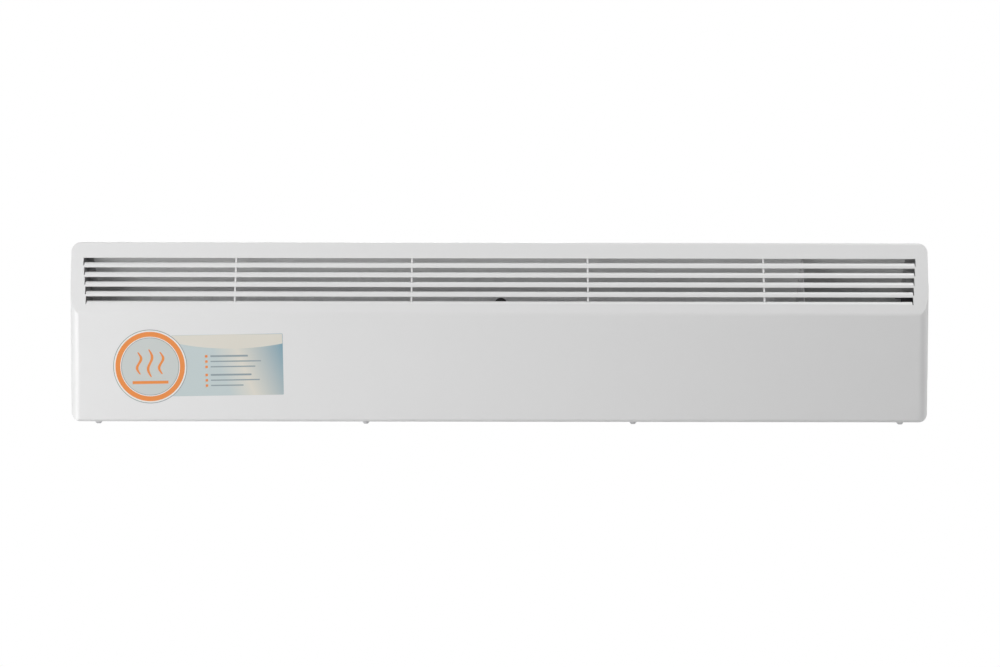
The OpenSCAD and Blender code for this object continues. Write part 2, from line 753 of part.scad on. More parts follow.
module thermostat_body() color([0.15, 0.15, 0.16]) on_controls()
    translate([0, knob_up, -recess_d - mould_t]) difference() {
        union() {
            translate([0, 0, -stat_l]) linear_extrude(stat_l) rounded(stat_w, stat_h, 3);
            for (y = [-9, 9]) translate([-3.15, y - blade_t / 2, -stat_l - blade_l])
                cube([6.3, blade_t, blade_l + 1]);
            translate([neck_off, 0, -stat_l - neck_l]) cylinder(r = 3, h = neck_l + 1);
        }
        translate([0, 0, -12]) cylinder(d = shaft_d + 2 * run_fit, h = 12 + over);
        for (x = [-1, 1]) translate([x * 10, 0, -8]) cylinder(r = 1.45 + seat_fit, h = 8 + over);
    }

module thermostat_screws() color(steel) on_controls()
    for (x = [-1, 1]) translate([x * 10, knob_up, -recess_d - 9]) {
        cylinder(r = 1.45, h = 8);
        translate([0, 0, 7.5]) cylinder(r1 = 1.45, r2 = 2.9, h = 1.4);
    }

module thermostat_shaft() color(steel) on_controls() translate([0, knob_up, 0])
    translate([0, 0, -recess_d - mould_t - 11.7]) difference() {
        cylinder(d = shaft_d, h = recess_d + mould_t + 9.7);
        translate([-shaft_d, shaft_d / 2 - 1, mould_t + 13]) cube([2 * shaft_d, shaft_d, 20]);
    }

knob_h = recess_d - 0.5;
module thermostat_knob() color(plastic) on_controls() translate([0, knob_up, -recess_d + 0.5])
    difference() {
        union() {
            cylinder(d = knob_d, h = knob_h - 1.2);
            translate([0, 0, knob_h - 1.2]) cylinder(d1 = knob_d, d2 = knob_d - 2.4, h = 1.2);
        }
        for (a = [0 : 15 : 345]) rotate(a + 7.5) translate([knob_d / 2 + 1, 0, 1.5])
            cylinder(r = 1.8, h = knob_h);
        translate([0, 0, -over]) difference() {
            cylinder(d = knob_d - 5, h = knob_h - 1.8);
            cylinder(d = shaft_d + 6, h = knob_h);
        }
        translate([0, 0, -over]) cylinder(d = shaft_d + 2 * seat_fit, h = knob_h - 1);
        translate([-0.8, knob_d / 4, knob_h - 0.6]) cube([1.6, knob_d / 4 - 2, 2]);
    }

// Smooth path through hand-placed points
function mix(a, b, t) = a * (1 - t) + b * t;
function curve(p, i, t) = let (n = len(p) - 1, a = p[max(i - 1, 0)], b = p[i],
    c = p[min(i + 1, n)], d = p[min(i + 2, n)])
    0.5 * (2 * b + (c - a) * t + (2 * a - 5 * b + 4 * c - d) * t * t
        + (3 * b - a - 3 * c + d) * t * t * t);
function smooth(p, steps) = [for (i = [0 : len(p) - 2], k = [0 : steps - 1])
    curve(p, i, k / steps), p[len(p) - 1]];
function unit(v) = v / norm(v);

// Round tube along a path, as one closed form
module tube(path, r, sides = 6) {
    n = len(path);
    rings = [for (i = [0 : n - 1]) let (
        d = unit(path[min(i + 1, n - 1)] - path[max(i - 1, 0)]),
        u = unit(cross(d, abs(d[1]) < 0.9 ? [0, 1, 0] : [1, 0, 0])), v = cross(d, u))
        each [for (k = [0 : sides - 1]) let (a = 360 * k / sides)
            path[i] + r * (cos(a) * u + sin(a) * v)]];
    sides_faces = [for (i = [0 : n - 2], k = [0 : sides - 1]) let (a = i * sides + k,
        b = i * sides + (k + 1) % sides) each [[a, b, b + sides], [a, b + sides, a + sides]]];
    caps = [for (k = [1 : sides - 2]) each [[0, k + 1, k],
        [(n - 1) * sides, (n - 1) * sides + k, (n - 1) * sides + k + 1]]];
    polyhedron(rings, concat(sides_faces, caps));
}

// Bulb that senses the room air, on the casing's floor
bulb_x = right_x + 26;
bulb_y = elem_y - 10;
bulb_z = floor_z + panel_t + 9;
bulb_r = 3;
bulb_l = 46;
module thermostat_bulb() color([0.72, 0.45, 0.25]) translate([bulb_x, bulb_y, bulb_z])
    rotate([0, 90, 0]) cylinder(r = bulb_r, h = bulb_l);

// Width of the bulb's clip along the bulb, and of its foot across it
clip_w = 10;
clip_foot = 12;
module bulb_clip() color(steel) translate([bulb_x + bulb_l / 2 - clip_w / 2, bulb_y, 0]) {
    along_x(0, clip_w) difference() {
        union() {
            translate([0, bulb_z]) circle(bulb_r + 1);
            translate([-0.5, floor_z + panel_t]) square([1, 6]);
            translate([-clip_foot / 2, floor_z + panel_t]) square([clip_foot, inner_t]);
        }
        translate([0, bulb_z]) circle(bulb_r + seat_fit);
        translate([-1.5, bulb_z]) square([3, 6]);
    }
}

// Reach of the capillary's bends
cap_turn = 18;
module thermostat_capillary() color([0.72, 0.45, 0.25]) {
    neck = end_x(control_y) - recess_d - mould_t - stat_l - neck_l - 0.5;
    tip = bulb_x + bulb_l;
    tube(smooth([[neck - 1, control_y + neck_off + 3, knob_up],
        [neck - cap_turn / 2, control_y + neck_off + 3, knob_up],
        [neck - cap_turn, control_y + 2, knob_up - 0.8 * cap_turn],
        [neck - 1.1 * cap_turn, bulb_y, bulb_z + 1.6 * cap_turn],
        [tip + 0.7 * cap_turn, bulb_y, bulb_z + 2], [tip + 0.1, bulb_y, bulb_z]], 4), 1, 6);
}

// Mains connections

gland_x = right_x + gland_in;
gland_y = y_back - 24;
module cable_gland() color(dark) translate([gland_x, gland_y, 0]) difference() {
    union() {
        translate([0, 0, floor_z - 2]) cylinder(r = gland_d / 2 + 3, h = 2);
        translate([0, 0, floor_z - 1]) cylinder(d = gland_d, h = 18);
        translate([0, 0, floor_z + 17]) cylinder(d1 = gland_d - 2, d2 = gland_d - 6, h = 5);
    }
    translate([0, 0, floor_z - 3]) cylinder(d = cord_bore, h = 30);
}

module gland_nut() color(dark) translate([gland_x, gland_y, floor_z + panel_t]) difference() {
    cylinder(r = gland_d / 2 + 3.5, h = 6, $fn = 6);
    translate([0, 0, -over]) cylinder(d = gland_d + 2 * seat_fit, h = 6 + 2 * over);
}

// Distance of the terminal block from the right partition, and its height
block_in = 24;
block_rise = 80;
block_x = right_x + block_in;
block_z = z_bot + block_rise;
block_pitch = 14;
module terminal_block() color(plastic) translate([block_x, 0, block_z]) difference() {
    union() {
        for (i = [0 : 2]) translate([i * block_pitch, y_back - 18, -9]) cube([block_pitch - 2, 18, 18]);
        translate([0, y_back - 5, -7]) cube([3 * block_pitch - 2, 5, 14]);
    }
    for (i = [0 : 2]) translate([i * block_pitch + 6, y_back - 9, 0]) {
        translate([0, 0, -10]) cylinder(r = 2.2, h = 20);
        translate([0, -2, 0]) rotate([90, 0, 0]) cylinder(r = 2.5, h = 8);
    }
}

module terminal_screws() color([0.80, 0.68, 0.35]) translate([block_x, 0, block_z])
    for (i = [0 : 2]) translate([i * block_pitch + 6, y_back - 9, 0]) rotate([90, 0, 0])
        difference() {
            translate([0, 0, 2.3]) cylinder(r = 2.4, h = 5);
            translate([-0.4, -3, 6.4]) cube([0.8, 6, 2]);
        }

module earth_stud() color([0.80, 0.68, 0.35])
    translate([right_x + 60, y_back, z_bot + rear_screw_rise])
    rotate([90, 0, 0]) {
        cylinder(r = 4.2, h = 1);
        cylinder(r = 2, h = 12);
        translate([0, 0, 1]) cylinder(r = 4, h = 3.2, $fn = 6);
    }

// Slack of the leads where they leave the block, and their run through the grommet
lead_rise = 24;
lead_in = 22;
lead_drop = 12;
module inner_wiring() color([0.55, 0.35, 0.25]) {
    sx = end_x(control_y) - recess_d - switch_l - blade_l - 1;
    by = y_back - 9;
    // supply lead from the first terminal to the switch
    tube(smooth([[block_x + 6, by, block_z + 9.2], [block_x + 6, by, block_z + lead_rise],
        [block_x + 30, by - 14, switch_up - lead_rise], [sx - 14, control_y, switch_up - 6],
        [sx - 0.4, control_y, switch_up]], 4), 1.3);
    // return lead from the third terminal through the partition to the element
    tube(smooth([[block_x + 2 * block_pitch + 6, by, block_z + 9.2],
        [block_x + 2 * block_pitch + 2, by - 4, block_z + lead_in],
        [right_x + lead_in, wire_hole[0], wire_hole[1] + 2], [right_x + 6, wire_hole[0], wire_hole[1]],
        [right_x - 8, wire_hole[0], wire_hole[1]],
        [right_x - lead_drop, elem_y + 2, elem_z + lead_rise], [right_x - 9.5, elem_y, elem_z + 9]], 4), 1.3);
}

wall_bracket();
front_cover();
grille_stays();
rear_panel();
cover_screws();
rear_screws();
rear_spacers();
air_baffle();
air_deflector();
left_partition();
right_partition();
wire_grommet();
element_body();
element_rod();
element_insulators();
element_terminals();
element_brackets();
element_bushes();
bracket_screws();
cutout_bracket();
thermal_cutout();
control_bezel();
switch_housing();
switch_rocker();
indicator_lens();
thermostat_body();
thermostat_screws();
thermostat_shaft();
thermostat_knob();
thermostat_capillary();
thermostat_bulb();
bulb_clip();
terminal_block();
terminal_screws();
earth_stud();
cable_gland();
gland_nut();
inner_wiring();
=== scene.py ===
import json
import math

import bmesh
import bpy
from bpy.props import FloatProperty, FloatVectorProperty, IntProperty, PointerProperty
from mathutils import Matrix, Vector


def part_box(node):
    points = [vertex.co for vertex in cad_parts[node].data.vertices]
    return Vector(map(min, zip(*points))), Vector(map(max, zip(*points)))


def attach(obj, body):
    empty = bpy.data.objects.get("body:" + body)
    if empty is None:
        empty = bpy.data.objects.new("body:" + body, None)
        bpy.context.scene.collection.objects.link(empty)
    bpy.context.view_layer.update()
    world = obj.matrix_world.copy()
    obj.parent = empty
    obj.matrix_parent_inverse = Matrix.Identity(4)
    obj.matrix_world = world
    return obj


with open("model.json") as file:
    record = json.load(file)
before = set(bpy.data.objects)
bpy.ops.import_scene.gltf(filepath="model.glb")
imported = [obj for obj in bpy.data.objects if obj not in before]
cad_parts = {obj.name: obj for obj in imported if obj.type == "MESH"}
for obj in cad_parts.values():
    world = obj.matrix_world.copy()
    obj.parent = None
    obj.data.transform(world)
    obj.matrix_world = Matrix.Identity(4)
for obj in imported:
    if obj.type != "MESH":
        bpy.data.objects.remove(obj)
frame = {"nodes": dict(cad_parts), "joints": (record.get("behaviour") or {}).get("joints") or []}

bl_info = {
    "name": "Wall convector heater",
    "version": (1, 0, 0),
    "blender": (4, 5, 0),
    "location": "View3D > Sidebar > Heater",
    "description": "Finishes, sticker, control marks and studio for a low wall-hung "
                   "convector heater",
    "category": "Object",
}

MM = 0.001
NODES = frame["nodes"]
JOINTS = {j["name"]: j for j in frame["joints"]}
FRONT_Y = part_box("front_cover")[0].y
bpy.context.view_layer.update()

# Lays a drawing on the casing's front: its x runs across, its y up and its z out of the face
FACE_OF_FRONT = Matrix(((1, 0, 0, 0), (0, 0, -1, FRONT_Y), (0, 1, 0, 0), (0, 0, 0, 1)))

# Middle value of a texture, round which its values swing
TEXTURE_MIDDLE = 0.5
# Features per metre of the clouds in the powder coat, of the ragged borders between the zinc
# crystals, and of the border of the dulled coat
CLOUD_SCALE = 14.0
RAGGED_SCALE = 160.0
BORDER_SCALE = 30.0
# Distance by which the zinc crystals' borders are pushed about
RAGGED_PUSH = 6 * MM
# Scale of the drawn lines along a piece, as a share of that across it
LINE_STRETCH = 0.004
# Height of the fine grain on moulded, turned and printed surfaces
GRAIN_HEIGHT = 0.04 * MM
# Distance in front of a surface from which a mark is dropped on it
DROP = 50 * MM
# Width of the camera's sensor in millimetres, and the nearest and farthest things it sees
SENSOR = 36
NEAREST, FARTHEST = 0.05, 50
FLOOR_GREY = (0.8, 0.8, 0.8)


def linear(red, green, blue):
    """Turns a screen colour of 0 to 255 into the shader's own scale."""
    shares = [c / 255 for c in (red, green, blue)]
    return tuple(c / 12.92 if c < 0.04045 else ((c + 0.055) / 1.055) ** 2.4 for c in shares)


def length(name, text, value, low=0.0, high=10.0):
    return FloatProperty(name=name, description=text, default=value, min=low, max=high,
                         precision=5, unit="LENGTH")


def share(name, text, value, high=1.0):
    return FloatProperty(name=name, description=text, default=value, min=0.0, max=high)


def angle(name, text, degrees):
    return FloatProperty(name=name, description=text, default=math.radians(degrees),
                         subtype="ANGLE", unit="ROTATION")


def power(name, text, value):
    return FloatProperty(name=name, description=text + ", in watts", default=value, min=0,
                         unit="POWER")


def colour(name, text, rgb):
    return FloatVectorProperty(name=name, description=text, default=linear(*rgb),
                               subtype="COLOR", size=3, min=0.0, max=1.0)


class CasingFinish(bpy.types.PropertyGroup):
    paint: colour("Paint", "Colour of the powder coat on the casing and its stays", (234, 234, 234))
    gloss_roughness: share("Roughness", "Roughness of the powder coat", 0.34)
    peel_size: length("Peel size", "Width of one dimple of the powder coat", 1.1 * MM)
    peel_height: length("Peel height", "Height of the dimples at full strength", 0.3 * MM)
    peel_strength: share("Peel strength", "Strength of the dimples", 0.05)


class MetalFinish(bpy.types.PropertyGroup):
    zinc: colour("Zinc", "Colour of the galvanised sheet", (212, 212, 213))
    zinc_roughness: share("Zinc roughness", "Roughness of the galvanised sheet", 0.46)
    zinc_metal: share("Zinc metal", "Share of metal shine on the galvanised sheet", 0.35)
    spangle: length("Spangle", "Width of one zinc crystal", 9 * MM)
    spangle_contrast: share("Spangle contrast", "Difference between neighbouring crystals", 0.16)
    deflector: colour("Deflector", "Colour of the pale coat on the air deflector", (244, 244, 244))
    # Painted shade: the darker colour of the deflector's foot, and the height and fade of its
    # border, stand in for the shade low inside the casing
    dulled: colour("Shaded coat", "Colour of the deflector's foot, dulled by the hot air",
                   (196, 196, 197))
    coat_roughness: share("Coat roughness", "Roughness of the deflector's coat", 0.5)
    dulled_h: length("Shaded height", "Height of the dulled foot above the deflector's lower edge",
                     8 * MM)
    dulled_fade: length("Shaded fade", "Height over which the dulled foot fades out", 3 * MM)
    aluminium: colour("Aluminium", "Colour of the finned extrusion", (203, 205, 207))
    rod: colour("Rod", "Colour of the sheathed heating rod", (150, 144, 136))
    die_lines: length("Die lines", "Distance between the drawn lines of the extrusion", 0.5 * MM)
    line_height: length("Line height", "Height of the drawn lines at full strength", 0.03 * MM)
    line_strength: share("Line strength", "Strength of the drawn lines", 0.3)
    turned: length("Turned marks", "Width of the fine marks on screws and terminals", 0.25 * MM)
    turned_strength: share("Turned strength", "Strength of the marks on screws and terminals", 0.2)
    screw: colour("Screw", "Colour of the bright screws", (205, 205, 202))
    dark_screw: colour("Foot screw", "Colour of the plated screws under the front", (204, 204, 206))
    brass: colour("Brass", "Colour of the terminal screws and the earth stud", (205, 170, 100))
    copper: colour("Copper", "Colour of the capillary and its bulb", (200, 128, 92))


class MouldedFinish(bpy.types.PropertyGroup):
    pale: colour("Pale plastic", "Colour of the control bezel and the knob", (226, 226, 223))
    black: colour("Black plastic", "Colour of the switch and the gland", (36, 36, 38))
    rubber: colour("Rubber", "Colour of the bumpers and the grommet", (40, 40, 41))
    silicone: colour("Silicone", "Colour of the element's bushes", (160, 66, 48))
    sleeve: colour("Sleeve", "Colour of the heat-proof leads", (122, 62, 38))
    ceramic: colour("Ceramic", "Colour of the rod's end insulators", (232, 226, 210))
    lens: colour("Lens", "Colour of the indicator lens", (240, 130, 50))
    grain: length("Grain", "Width of the grain on the moulded pieces", 0.35 * MM)


class StickerSizes(bpy.types.PropertyGroup):
    film: length("Film", "Thickness of the sticker's film", 0.12 * MM)
    ink: length("Ink", "Thickness of one printed layer", 0.02 * MM)
    roughness: share("Roughness", "Roughness of the sticker", 0.3)
    grain: length("Grain", "Width of the faint grain of the sticker's film", 0.6 * MM)
    grain_strength: share("Grain strength", "Strength of the film's grain", 0.06)
    tilt: angle("Tilt", "Angle at which the sticker was stuck on", 1.0)

    disc_x: length("Disc across", "Place of the disc's middle, from the casing's middle",
                   -428.5 * MM, -0.5)
    disc_z: length("Disc up", "Height of the disc's middle", -42.3 * MM, -0.1)
    disc_r: length("Disc radius", "Outer radius of the round sticker", 45.3 * MM)
    rim: length("Rim", "Width of the disc's rim", 0.9 * MM)
    ring_out: length("Ring outside", "Outer radius of the coloured ring", 42.6 * MM)
    ring_in: length("Ring inside", "Inner radius of the coloured ring", 36.6 * MM)
    plain_w: length("Plain ring", "Width of the plain film inside the coloured ring", 1.0 * MM)
    line_w: length("Fine ring", "Width of the thin line round the disc's middle", 0.8 * MM)

    wave_h: length("Wave height", "Height of the middle warm-air wave", 34 * MM)
    side_wave: share("Side waves", "Height of the outer waves, as a share of the middle one's", 0.8)
    wave_w: length("Wave width", "Width of a wave's stroke at its middle", 3.4 * MM)
    wave_taper: share("Wave taper", "Share of its width that a stroke loses at its ends", 0.55)
    wave_swing: length("Wave swing", "Distance that a wave swings to either side", 2.6 * MM)
    wave_turns: share("Wave turns", "Number of full swings along a wave", 1.15,
                      high=4.0)
    wave_pitch: length("Wave pitch", "Distance from wave to wave", 13.5 * MM)
    wave_up: length("Waves up", "Height of the waves over the disc's middle", 4 * MM)
    base_w: length("Base width", "Width of the bar under the waves", 44 * MM)
    base_h: length("Base height", "Height of the bar under the waves", 3.6 * MM)
    base_down: length("Base down", "Depth of that bar under the disc's middle", 19.5 * MM)

    card_w: length("Card width", "Width of the card beside the disc", 136 * MM)
    card_h: length("Card height", "Height of the card", 75 * MM)
    card_corner: length("Card corner", "Radius of the card's corners", 0.8 * MM)
    card_x: length("Card across", "Place of the card's middle", -333.5 * MM, -0.5)
    card_z: length("Card up", "Height of the card's middle", -40.2 * MM, -0.1)
    fade_lean: share("Fade lean", "Lean of the card's gradient", 0.22)
    pale_end: share("Pale end", "Share of the card's width at which the gradient starts", 0.3)
    cream_at: share("Cream place", "Share of the card's width at which the gradient is cream", 0.52)
    sweep_w: length("Sweep width", "Half width of the oval of the cream band", 112 * MM)
    sweep_h: length("Sweep height", "Half height of the oval of the cream band", 34 * MM)
    sweep_x: length("Sweep across", "Place of the oval's middle on the card", 8 * MM)
    sweep_up: length("Sweep up", "Height of the oval's middle over the card's", 54 * MM)
    margin: length("Margin", "Plain border between the band and the card's edge", 0.4 * MM)
    dot: length("Dot", "Width of the small squares", 3.2 * MM)
    dot_corner: length("Dot corner", "Radius of the small squares' corners", 0.7 * MM)
    dots_x: length("Dots across", "Place of the small squares on the card", -26 * MM, -0.1)
    bar_gap: length("Bar gap", "Distance of the bars' start from the squares' middle", 5 * MM)
    bar_corner: length("Bar corner", "Radius of the bars' corners", 0.6 * MM)

    orange: colour("Orange", "Colour of the ring and the small squares", (236, 142, 66))
    edge: colour("Edge", "Colour of the sticker's rim", (150, 158, 162))
    paper: colour("Paper", "Colour of the unprinted film", (240, 239, 234))
    cream: colour("Cream", "Colour of the card's swept band", (226, 222, 211))
    pale: colour("Pale", "Pale end of the card's gradient", (198, 210, 211))
    teal: colour("Teal", "Deep end of the card's gradient", (104, 154, 176))
    bar: colour("Bars", "Colour of the plain bars on the card", (146, 160, 166))
    grey: colour("Grey", "Colour of the middle of the disc", (204, 209, 207))


class MarkSizes(bpy.types.PropertyGroup):
    print_depth: length("Print depth", "Thickness of a printed mark", 0.06 * MM)
    roughness: share("Roughness", "Roughness of the printed marks", 0.4)
    grain: length("Grain", "Width of the grain of the printed marks", 0.2 * MM)
    grain_strength: share("Grain strength", "Strength of the marks' grain", 0.1)
    ink: colour("Ink", "Colour of the printed marks", (84, 88, 92))
    light_ink: colour("Light ink", "Colour of the marks on the rocker", (232, 232, 230))
    figures: IntProperty(name="Figures", description="Highest figure on the knob", default=6,
                         min=2, max=8)
    figure: length("Figure height", "Height of the figures on the knob", 4.2 * MM)
    figure_radius: length("Figure radius", "Distance of the figures from the knob's axis",
                          11.2 * MM)
    pointer_r: length("Pointer radius", "Radius of the pointer's corners", 2.2 * MM)
    pointer_gap: length("Pointer gap", "Distance of the pointer's middle from the knob", 3.4 * MM)
    mark_rise: length("Mark rise", "Distance of the rocker's marks from its hinge", 5.4 * MM)
    bar_w: length("Bar width", "Width of the rocker's bar", 1.0 * MM)
    bar_h: length("Bar height", "Height of the rocker's bar", 4.2 * MM)
    bar_corner: length("Bar corner", "Radius of the bar's corners", 0.3 * MM)
    ring_r: length("Ring radius", "Outer radius of the rocker's ring", 2.3 * MM)
    ring_w: length("Ring width", "Width of the ring's stroke", 0.8 * MM)


class StageSettings(bpy.types.PropertyGroup):
    eye_x: length("Eye across", "Place of the camera, from the casing's middle", -5.9 * MM, -10)
    eye_y: length("Eye back", "Place of the camera in depth", -2537 * MM, -10)
    eye_z: length("Eye up", "Height of the camera", 119 * MM, -10)
    pitch: angle("Pitch", "Angle at which the camera looks down", 2.816)
    yaw: angle("Yaw", "Angle at which the camera looks to the left", -0.148)
    roll: angle("Roll", "Angle at which the camera is turned round its axis", 0.095)
    focal: FloatProperty(name="Lens", description="Focal length of the lens, in millimetres",
                         default=71.8, min=20, max=200)
    key_power: power("Key", "Power of the large lamp in front on the left", 20.6)
    near_power: power("Near", "Power of the smaller lamp close on the left", 4.8)
    top_power: power("Top", "Power of the lamp over the heater", 4.6)
    right_power: power("Right", "Power of the lamp high above the right end", 7.7)
    front_power: power("Front", "Power of the lamp over the camera", 3.5)
    low_power: power("Low", "Power of the lamp under the camera", 7.0)
    end_power: power("End", "Power of the lamp beside the right end", 2.0)
    back_power: power("Back", "Power of the lamp that lights the heater's back", 14)
    ambient: share("Ambient", "Strength of the even light from all sides", 0.088)
    floor_w: length("Floor width", "Half width of the floor", 1.6)
    floor_d: length("Floor depth", "Half depth of the floor", 0.75)
    floor_y: length("Floor back", "Place of the floor's middle in depth", -0.45, -3)
    floor_z: length("Floor height", "Height of the floor", -560 * MM, -3)


def effect(name, inputs, outputs):
    """Starts a node group with named sockets and returns it with its two end nodes."""
    tree = bpy.data.node_groups.new(name, "ShaderNodeTree")
    for label, kind, value in inputs:
        socket = tree.interface.new_socket(name=label, in_out="INPUT", socket_type=kind)
        socket.default_value = value
    for label, kind in outputs:
        tree.interface.new_socket(name=label, in_out="OUTPUT", socket_type=kind)
    return tree, tree.nodes.new("NodeGroupInput"), tree.nodes.new("NodeGroupOutput")


def add(tree, kind, links=(), **settings):
    """Adds a node, sets its properties and plain inputs, and links its other inputs."""
    node = tree.nodes.new(kind)
    for key, value in settings.items():
        setattr(node, key, value)
    for socket, source in dict(links).items():
        if isinstance(source, bpy.types.NodeSocket):
            tree.links.new(source, node.inputs[socket])
        else:
            node.inputs[socket].default_value = source
    return node


def feed(node, **sources):
    """Links sources to the inputs of a node, by the inputs' names."""
    for label, source in sources.items():
        node.id_data.links.new(source, node.inputs[label.replace("_", " ")])


def object_place(tree):
    return add(tree, "ShaderNodeTexCoord").outputs["Object"]


def maths(tree, operation, *values):
    """Adds a math node and returns its result."""
    return add(tree, "ShaderNodeMath", enumerate(values), operation=operation).outputs[0]


def scale_of(tree, size):
    """Texture scale at which one feature has the size given in metres."""
    return maths(tree, "DIVIDE", 1.0, size)


def swung(tree, texture, change, middle):
    """Lets a value follow a texture round its own middle."""
    swing = maths(tree, "SUBTRACT", texture, TEXTURE_MIDDLE)
    return maths(tree, "MULTIPLY_ADD", swing, change, middle)


def mixed(tree, factor, first, second):
    """Mixes two colours. The node's colour sockets can only be told apart by their numbers."""
    return add(tree, "ShaderNodeMix", {0: factor, 6: (*first, 1), 7: (*second, 1)},
               data_type="RGBA").outputs[2]


def orange_peel():
    """Soft dimples of a powder coat, with a slight change of roughness."""
    tree, start, end = effect(
        "orange_peel",
        [("Size", "NodeSocketFloat", 0.001), ("Roughness", "NodeSocketFloat", 0.35),
         ("Change", "NodeSocketFloat", 0.03)],
        [("Height", "NodeSocketFloat"), ("Roughness", "NodeSocketFloat")])
    place = object_place(tree)
    peel = add(tree, "ShaderNodeTexNoise",
               {"Vector": place, "Scale": scale_of(tree, start.outputs["Size"]),
                "Detail": 1.5, "Roughness": 0.4})
    cloud = add(tree, "ShaderNodeTexNoise", {"Vector": place, "Scale": CLOUD_SCALE, "Detail": 2.0})
    feed(end, Height=peel.outputs["Fac"],
         Roughness=swung(tree, cloud.outputs["Fac"], start.outputs["Change"],
                         start.outputs["Roughness"]))
    return tree


def zinc_spangle():
    """Flat crystals of hot-dip zinc, each with its own tone and sheen."""
    tree, start, end = effect(
        "zinc_spangle",
        [("Color", "NodeSocketColor", (0.6, 0.6, 0.6, 1)), ("Size", "NodeSocketFloat", 0.008),
         ("Contrast", "NodeSocketFloat", 0.2), ("Roughness", "NodeSocketFloat", 0.4)],
        [("Color", "NodeSocketColor"), ("Roughness", "NodeSocketFloat")])
    place = object_place(tree)
    ragged = add(tree, "ShaderNodeTexNoise",
                 {"Vector": place, "Scale": RAGGED_SCALE, "Detail": 3.0})
    shift = add(tree, "ShaderNodeVectorMath",
                {0: ragged.outputs["Color"], 1: (RAGGED_PUSH,) * 3, 2: place},
                operation="MULTIPLY_ADD")
    cells = add(tree, "ShaderNodeTexVoronoi",
                {"Vector": shift.outputs[0], "Scale": scale_of(tree, start.outputs["Size"])})
    tone = add(tree, "ShaderNodeSeparateColor", {0: cells.outputs["Color"]}).outputs[0]
    gain = swung(tree, tone, start.outputs["Contrast"], 1.0)
    shade = add(tree, "ShaderNodeVectorMath", {0: start.outputs["Color"], "Scale": gain},
                operation="SCALE")
    feed(end, Color=shade.outputs[0],
         Roughness=swung(tree, tone, start.outputs["Contrast"], start.outputs["Roughness"]))
    return tree


def moulded_grain():
    """Fine even grain of a moulded, turned or printed surface."""
    tree, start, end = effect(
        "moulded_grain", [("Size", "NodeSocketFloat", 0.0004)], [("Height", "NodeSocketFloat")])
    grain = add(tree, "ShaderNodeTexNoise",
                {"Vector": object_place(tree), "Scale": scale_of(tree, start.outputs["Size"]),
                 "Detail": 2.0})
    feed(end, Height=grain.outputs["Fac"])
    return tree


def drawn_lines():
    """Long fine lines that a die leaves along an extruded or drawn piece."""
    tree, start, end = effect(
        "drawn_lines",
        [("Pitch", "NodeSocketFloat", 0.0005), ("Roughness", "NodeSocketFloat", 0.35),
         ("Change", "NodeSocketFloat", 0.12)],
        [("Height", "NodeSocketFloat"), ("Roughness", "NodeSocketFloat")])
    along = add(tree, "ShaderNodeMapping",
                {"Vector": object_place(tree), "Scale": (LINE_STRETCH, 1.0, 1.0)})
    lines = add(tree, "ShaderNodeTexNoise",
                {"Vector": along.outputs[0], "Scale": scale_of(tree, start.outputs["Pitch"]),
                 "Detail": 2.0})
    feed(end, Height=lines.outputs["Fac"],
         Roughness=swung(tree, lines.outputs["Fac"], start.outputs["Change"],
                         start.outputs["Roughness"]))
    return tree


def heat_dulling():
    """Mask of painted shade below a height, with a soft ragged border."""
    tree, start, end = effect(
        "heat_dulling",
        [("Height", "NodeSocketFloat", 0.05), ("Fade", "NodeSocketFloat", 0.003)],
        [("Mask", "NodeSocketFloat")])
    height, fade = start.outputs["Height"], start.outputs["Fade"]
    place = object_place(tree)
    axes = add(tree, "ShaderNodeSeparateXYZ", {0: place})
    cloud = add(tree, "ShaderNodeTexNoise", {"Vector": place, "Scale": BORDER_SCALE, "Detail": 2.0})
    ragged = maths(tree, "MULTIPLY_ADD", cloud.outputs["Fac"], fade, axes.outputs["Z"])
    mask = add(tree, "ShaderNodeMapRange",
               {"Value": ragged, "From Min": height, "From Max": maths(tree, "ADD", height, fade),
                "To Min": 1.0, "To Max": 0.0})
    feed(end, Mask=mask.outputs[0])
    return tree


def use(material, build, **inputs):
    """Places a shared effect in a material, with values of its own."""
    node = material.node_tree.nodes.new("ShaderNodeGroup")
    node.node_tree = bpy.data.node_groups.get(build.__name__) or build()
    for label, value in inputs.items():
        node.inputs[label].default_value = value
    return node


def finish(name, rgb, roughness, **sockets):
    """Plain material and its shader, whose other sockets are set by their names."""
    material = bpy.data.materials.new(name)
    material.use_nodes = True
    shader = material.node_tree.nodes["Principled BSDF"]
    shader.inputs["Base Color"].default_value = (*rgb, 1)
    shader.inputs["Roughness"].default_value = roughness
    for label, value in sockets.items():
        shader.inputs[label.replace("_", " ")].default_value = value
    material.diffuse_color = (*rgb, 1)
    return material, shader


def bump(shader, height, strength, distance):
    node = add(shader.id_data, "ShaderNodeBump",
               {"Height": height, "Strength": strength, "Distance": distance})
    feed(shader, Normal=node.outputs["Normal"])


def grained(name, rgb, roughness, grain, strength, **sockets):
    """Material with a fine grain."""
    material, shader = finish(name, rgb, roughness, **sockets)
    texture = use(material, moulded_grain, Size=grain)
    bump(shader, texture.outputs["Height"], strength, GRAIN_HEIGHT)
    return material


def printed(name, rgb, size):
    """Material of a print, with the roughness and grain that its settings give."""
    return grained("print_" + name, rgb, size.roughness, size.grain, size.grain_strength)


def dress(slot, material):
    """Gives the finish to every CAD node that carries the slot."""
    for node in NODES.values():
        for i, old in enumerate(node.data.materials):
            if old.name.split(".")[0] == slot:
                node.data.materials[i] = material


def make_object(name, shape, materials):
    """Makes the shape an object of the scene, at the origin."""
    mesh = bpy.data.meshes.new(name)
    shape.to_mesh(mesh)
    shape.free()
    for material in materials:
        mesh.materials.append(material)
    made = bpy.data.objects.new(name, mesh)
    bpy.context.scene.collection.objects.link(made)
    return made


